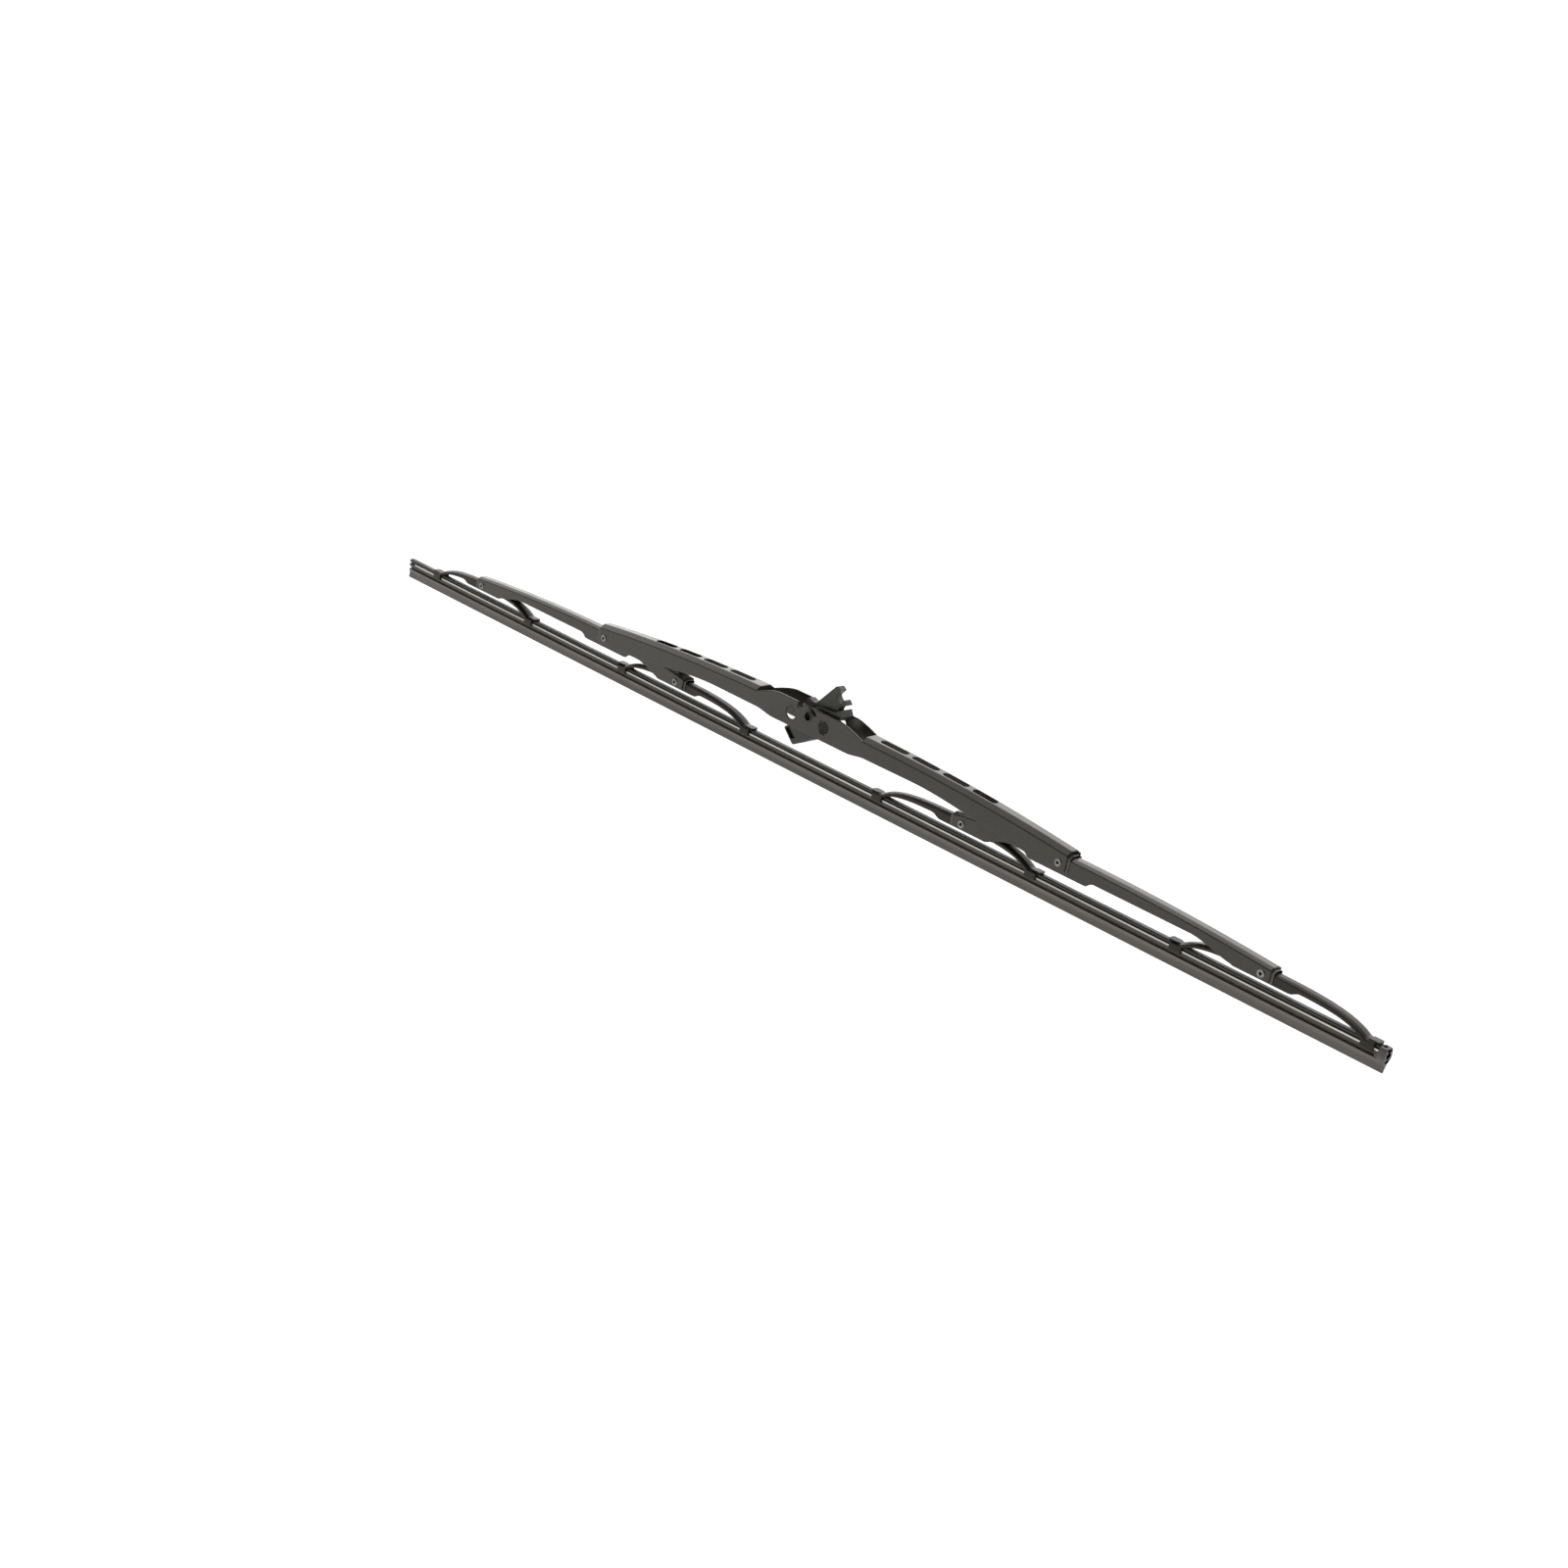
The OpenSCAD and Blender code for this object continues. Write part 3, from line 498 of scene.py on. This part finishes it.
def block(name):
    """The moulded block at the rubber's near end, its edges softened over its length."""
    outline = rounded(mirrored(BLOCK_HALF), BLOCK_CORNER_MM, BLOCK_CORNER_STEPS)
    middle = Vector((0, BLOCK_MIDDLE_Z))
    first, last = RUBBER_HIGH[0] / MM - BLOCK_MM, RUBBER_HIGH[0] / MM
    rings = []
    for t, grown in BLOCK_SWELL:
        rings.append((first + (last - first) * t, [middle + (p - middle) * grown for p in outline]))
    return extrusion(name, rings, END_TONE)


def filler(name):
    """The moulding that closes the hinge's grooves between the last claw and the block."""
    outline = rounded(mirrored(FILL_HALF), FILL_CORNER_MM)
    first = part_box("claw_bridge_4")[1][0] / MM - TAB / MM + FILL_FROM_CLAW_MM
    last = RUBBER_HIGH[0] / MM - BLOCK_MM + FILL_INTO_BLOCK_MM
    return extrusion(name, [(first, outline), (last, outline)], END_TONE)


def strip_outline(side):
    """The section of the strip on one side, turned the same way round on both."""
    edge = [Vector((side * y, z)) for y, z in ((STRIP_IN, STRIP_LOW_Z), (STRIP_OUT, STRIP_LOW_Z),
                                               (STRIP_OUT, STRIP_HIGH_Z), (STRIP_IN, STRIP_HIGH_Z))]
    if side < 0:
        edge.reverse()
    return rounded(edge, STRIP_CORNER_MM)


def rubber_and_strips():
    """The rubber and its two strips in four lengths."""
    clear = {name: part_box(name) for name in CLAW_BRIDGES}
    # Each span: where it runs, the two bodies at its ends, and where along it the change from one to the
    # other is listed to start and end
    spans = [
        (RUBBER_LOW[0], CUT_LEFT, "bridge_1", "secondary_left",
         clear["claw_bridge_1"][1][0] + CLAW_CLEAR, JOINT_X["bridge_2_pivot"]),
        (CUT_LEFT, 0.0, "secondary_left", "bridge_2",
         JOINT_X["bridge_1_pivot"], clear["claw_bridge_2"][0][0] - CLAW_CLEAR),
        (0.0, CUT_RIGHT, "bridge_3", "secondary_right",
         clear["claw_bridge_3"][1][0] + CLAW_CLEAR, JOINT_X["bridge_4_pivot"]),
        (CUT_RIGHT, RUBBER_HIGH[0], "secondary_right", "bridge_4",
         JOINT_X["bridge_3_pivot"], clear["claw_bridge_4"][0][0] - CLAW_CLEAR),
    ]
    section = leaning(rounded(mirrored(RUBBER_HALF), CORNER_MM))
    for index, (first, last, body_a, body_b, start, end) in enumerate(spans):
        made = [("rubber_length", "wiper_rubber", "rubber_element", section, first, last)]
        for side, node in ((-1, "flexor_front"), (1, "flexor_back")):
            made.append((node + "_length", "strip_steel", node, strip_outline(side),
                         max(first, STRIP_LOW[0]), min(last, STRIP_HIGH[0])))
        for stem, slot, node, outline, low, high in made:
            tongue = index < len(spans) - 1
            piece = length_of(f"{stem}_{index + 1}", outline, low / MM, high / MM, tongue)
            finish(piece, slot, node)
            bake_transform(piece)
    for piece in (block("rubber_end_block"), filler("rubber_end_filler")):
        finish(piece, "wiper_rubber", "rubber_element")
        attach(piece, "bridge_4")


def finish(piece, slot, node):
    """The piece takes its slot's material and stands for its node."""
    piece.data.materials.append(MATERIALS[slot])
    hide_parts(node)


def floor():
    """Plain floor that glows as white as the photograph's background."""
    mesh = bpy.data.meshes.new("floor")
    corners = [(x * FLOOR_HALF, y * FLOOR_HALF, -FLOOR_DROP)
               for x, y in ((-1, -1), (1, -1), (1, 1), (-1, 1))]
    mesh.from_pydata(corners, [], [(0, 1, 2, 3)])
    ground = bpy.data.objects.new("floor", mesh)
    bpy.context.scene.collection.objects.link(ground)
    mat, _, shader = material("floor_white")
    shader.inputs["Base Color"].default_value = (FLOOR_GREY, FLOOR_GREY, FLOOR_GREY, 1)
    shader.inputs["Emission Color"].default_value = (*WHITE, 1)
    shader.inputs["Emission Strength"].default_value = FLOOR_GLOW
    shader.inputs["Roughness"].default_value = FLOOR_ROUGHNESS
    shader.inputs["Specular IOR Level"].default_value = 0.0
    ground.data.materials.append(mat)


def softbox(name, at, aim, size, watts):
    """A rectangular area light aimed at a point."""
    data = bpy.data.lights.new(name, "AREA")
    data.shape = "RECTANGLE"
    data.size, data.size_y = size
    data.energy = watts
    lamp = bpy.data.objects.new(name, data)
    lamp.location = at
    lamp.rotation_euler = (Vector(aim) - Vector(at)).to_track_quat("-Z", "Y").to_euler()
    bpy.context.scene.collection.objects.link(lamp)


def backdrop():
    """A white world that lights the blade from behind more than from in front."""
    world = bpy.data.worlds.new("studio")
    world.use_nodes = True
    tree = world.node_tree
    surround, output = tree.nodes["Background"], tree.nodes["World Output"]
    place = tree.nodes.new("ShaderNodeTexCoord")
    along = tree.nodes.new("ShaderNodeVectorMath")
    along.operation = "DOT_PRODUCT"
    along.inputs[1].default_value = Vector(BACKDROP_TOWARD).normalized()
    tree.links.new(place.outputs["Generated"], along.inputs[0])
    spread = tree.nodes.new("ShaderNodeMapRange")
    spread.interpolation_type = "SMOOTHSTEP"
    spread.inputs["From Min"].default_value = FRONT_END
    spread.inputs["From Max"].default_value = BACK_END
    spread.inputs["To Min"].default_value = FRONT_LEVEL
    spread.inputs["To Max"].default_value = BACK_LEVEL
    tree.links.new(along.outputs["Value"], spread.inputs["Value"])
    tree.links.new(spread.outputs["Result"], surround.inputs["Strength"])
    surround.inputs["Color"].default_value = (*WHITE, 1)
    seen = tree.nodes.new("ShaderNodeBackground")
    seen.inputs["Color"].default_value = (*WHITE, 1)
    seen.inputs["Strength"].default_value = BACKDROP_SEEN
    path = tree.nodes.new("ShaderNodeLightPath")
    either = tree.nodes.new("ShaderNodeMixShader")
    tree.links.new(path.outputs["Is Camera Ray"], either.inputs[0])
    tree.links.new(surround.outputs["Background"], either.inputs[1])
    tree.links.new(seen.outputs["Background"], either.inputs[2])
    tree.links.new(either.outputs["Shader"], output.inputs["Surface"])
    bpy.context.scene.world = world


def lights():
    """The backdrop and a soft key from above, shown without a film curve."""
    backdrop()
    softbox("key", KEY_AT, (0, 0, 0), KEY_SIZE, KEY_WATTS)
    bpy.context.scene.view_settings.view_transform = "Standard"


def camera():
    """The photograph's camera."""
    data = bpy.data.cameras.new("camera")
    data.lens = LENS_MM
    data.sensor_width = SENSOR_MM
    data.clip_start, data.clip_end = NEAR_CLIP, FAR_CLIP
    cam = bpy.data.objects.new("camera", data)
    cam.location = CAMERA_AT
    cam.rotation_euler = Euler([math.radians(v) for v in CAMERA_TURN], "XYZ")
    bpy.context.scene.collection.objects.link(cam)
    bpy.context.scene.camera = cam


paint_nodes()
shortened_claws()
rubber_and_strips()
floor()
lights()
camera()
